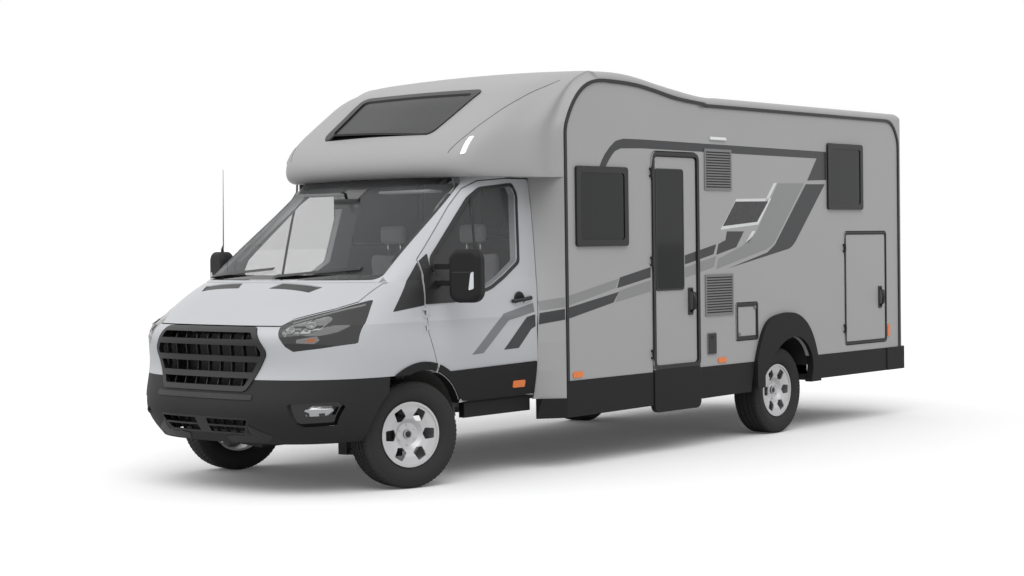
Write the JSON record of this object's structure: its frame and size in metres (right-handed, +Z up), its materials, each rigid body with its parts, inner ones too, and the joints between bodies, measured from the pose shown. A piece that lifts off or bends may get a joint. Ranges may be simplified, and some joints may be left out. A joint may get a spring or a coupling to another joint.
{
  "type": "motorhome",
  "caption": "Low-profile coachbuilt motorhome on a van chassis, with steered wheels, cab doors, a bonnet, an entry door, a garage door and a service hatch.",
  "frame": {"origin": "on the ground at the middle of the length and width", "axes": "+X to the vehicle's left, +Y to its rear, +Z up"},
  "size_m": [2.6718, 7.3928, 2.9052],
  "materials": {
    "cab_paint": "metallic silver, gloss",
    "coach_paint": "metallic grey, gloss",
    "dark_glass": "dark tinted",
    "lamp_glass": "clear over reflectors",
    "rear_lamp": "red",
    "amber": "amber",
    "black_plastic": "grained black",
    "light_plastic": "satin grey",
    "plate": "satin, blank",
    "chassis_steel": "satin black",
    "engine_metal": "rough",
    "tank_plastic": "satin",
    "floor": "matt",
    "interior": "grained",
    "seat_fabric": "woven",
    "wood": "satin veneer",
    "wheel_paint": "bright silver",
    "tyre": "rubber"
  },
  "bodies": {
    "body": {"cab_shell": "cab_paint", "side_wall_left": "coach_paint", "side_wall_right": "coach_paint", "roof": "coach_paint", "rear_cap": "coach_paint", "corner_panels": "coach_paint", "overcab_shell": "coach_paint", "windscreen": "dark_glass", "overcab_window": "dark_glass", "window_panes": "dark_glass", "front_lamps": "lamp_glass", "rear_lamps": "rear_lamp", "marker_lamps": "amber", "grille": "black_plastic", "front_bumper": "black_plastic", "front_arch_trims": "black_plastic", "side_sills": "black_plastic", "skirts": "black_plastic", "rear_arch_trims": "black_plastic", "edge_trims": "black_plastic", "rear_bumper": "black_plastic", "wipers": "black_plastic", "window_frames": "black_plastic", "wall_vents": "light_plastic", "rooflights": "light_plastic", "number_plate": "plate", "chassis_frame": "chassis_steel", "front_suspension": "chassis_steel", "rear_axle": "chassis_steel", "engine": "engine_metal", "underfloor_tanks": "tank_plastic", "cab_floor": "floor", "coach_floor": "floor", "dashboard": "interior", "cab_seats": "seat_fabric", "furniture": "wood"},
    "cab_door_left": {"cab_door_left": "cab_paint", "door_glass_left": "dark_glass", "mirror_left": "black_plastic"},
    "cab_door_right": {"cab_door_right": "cab_paint", "door_glass_right": "dark_glass", "mirror_right": "black_plastic"},
    "bonnet": {"bonnet": "cab_paint"},
    "entry_door": {"entry_door": "coach_paint", "entry_window": "dark_glass"},
    "locker_door": {"locker_door": "coach_paint"},
    "service_hatch": {"service_hatch": "coach_paint"},
    "steering_wheel": {"steering_wheel": "interior"},
    "knuckle_left": {"knuckle_left": "chassis_steel"},
    "knuckle_right": {"knuckle_right": "chassis_steel"},
    "wheel_front_left": {"wheel_front_left": "wheel_paint", "tyre_front_left": "tyre"},
    "wheel_front_right": {"wheel_front_right": "wheel_paint", "tyre_front_right": "tyre"},
    "wheel_rear_left": {"wheel_rear_left": "wheel_paint", "tyre_rear_left": "tyre"},
    "wheel_rear_right": {"wheel_rear_right": "wheel_paint", "tyre_rear_right": "tyre"}
  },
  "joints": [
    {"name": "steer_left", "type": "hinge", "parent": "body", "child": "knuckle_left", "pos_m": [0.8, -2.665, 0.356], "axis": [0, 0, 1], "range_deg": [-18, 52]},
    {"name": "steer_right", "type": "hinge", "parent": "body", "child": "knuckle_right", "pos_m": [-0.8, -2.665, 0.356], "axis": [0, 0, 1], "range_deg": [-18, 52]},
    {"name": "spin_front_left", "type": "hinge", "parent": "knuckle_left", "child": "wheel_front_left", "pos_m": [0.86705, -2.68512, 0.356], "axis": [0.9578, -0.2874, 0], "continuous": true},
    {"name": "spin_front_right", "type": "hinge", "parent": "knuckle_right", "child": "wheel_front_right", "pos_m": [-0.86705, -2.64488, 0.356], "axis": [0.9578, -0.2874, 0], "continuous": true},
    {"name": "spin_rear_left", "type": "hinge", "parent": "body", "child": "wheel_rear_left", "pos_m": [0.99, 1.585, 0.356], "axis": [1, 0, 0], "continuous": true},
    {"name": "spin_rear_right", "type": "hinge", "parent": "body", "child": "wheel_rear_right", "pos_m": [-0.99, 1.585, 0.356], "axis": [1, 0, 0], "continuous": true},
    {"name": "steering_turn", "type": "hinge", "parent": "body", "child": "steering_wheel", "pos_m": [-0.38, -2.16, 1.2], "axis": [0, 0.6157, 0.788], "range_deg": [-270, 780]},
    {"name": "cab_door_left_swing", "type": "hinge", "parent": "body", "child": "cab_door_left", "pos_m": [1.031, -2.6185, 1.1], "axis": [0, 0, -1], "range_deg": [0, 68]},
    {"name": "cab_door_right_swing", "type": "hinge", "parent": "body", "child": "cab_door_right", "pos_m": [-1.031, -2.6185, 1.1], "axis": [0, 0, 1], "range_deg": [0, 68]},
    {"name": "bonnet_lift", "type": "hinge", "parent": "body", "child": "bonnet", "pos_m": [0, -2.85, 1.362], "axis": [-1, 0, 0], "range_deg": [0, 50]},
    {"name": "entry_door_swing", "type": "hinge", "parent": "body", "child": "entry_door", "pos_m": [1.171, -0.2685, 1.4], "axis": [0, 0, -1], "range_deg": [0, 120]},
    {"name": "locker_door_swing", "type": "hinge", "parent": "body", "child": "locker_door", "pos_m": [1.171, 2.5755, 1.2], "axis": [0, 0, -1], "range_deg": [0, 120]},
    {"name": "service_hatch_drop", "type": "hinge", "parent": "body", "child": "service_hatch", "pos_m": [1.171, 1.031, 0.7945], "axis": [0, 1, 0], "range_deg": [0, 110]}
  ],
  "couplings": [
    {"joint": "steer_right", "follows": "steer_left", "ratio": 1},
    {"joint": "steering_turn", "follows": "steer_left", "ratio": 15}
  ]
}
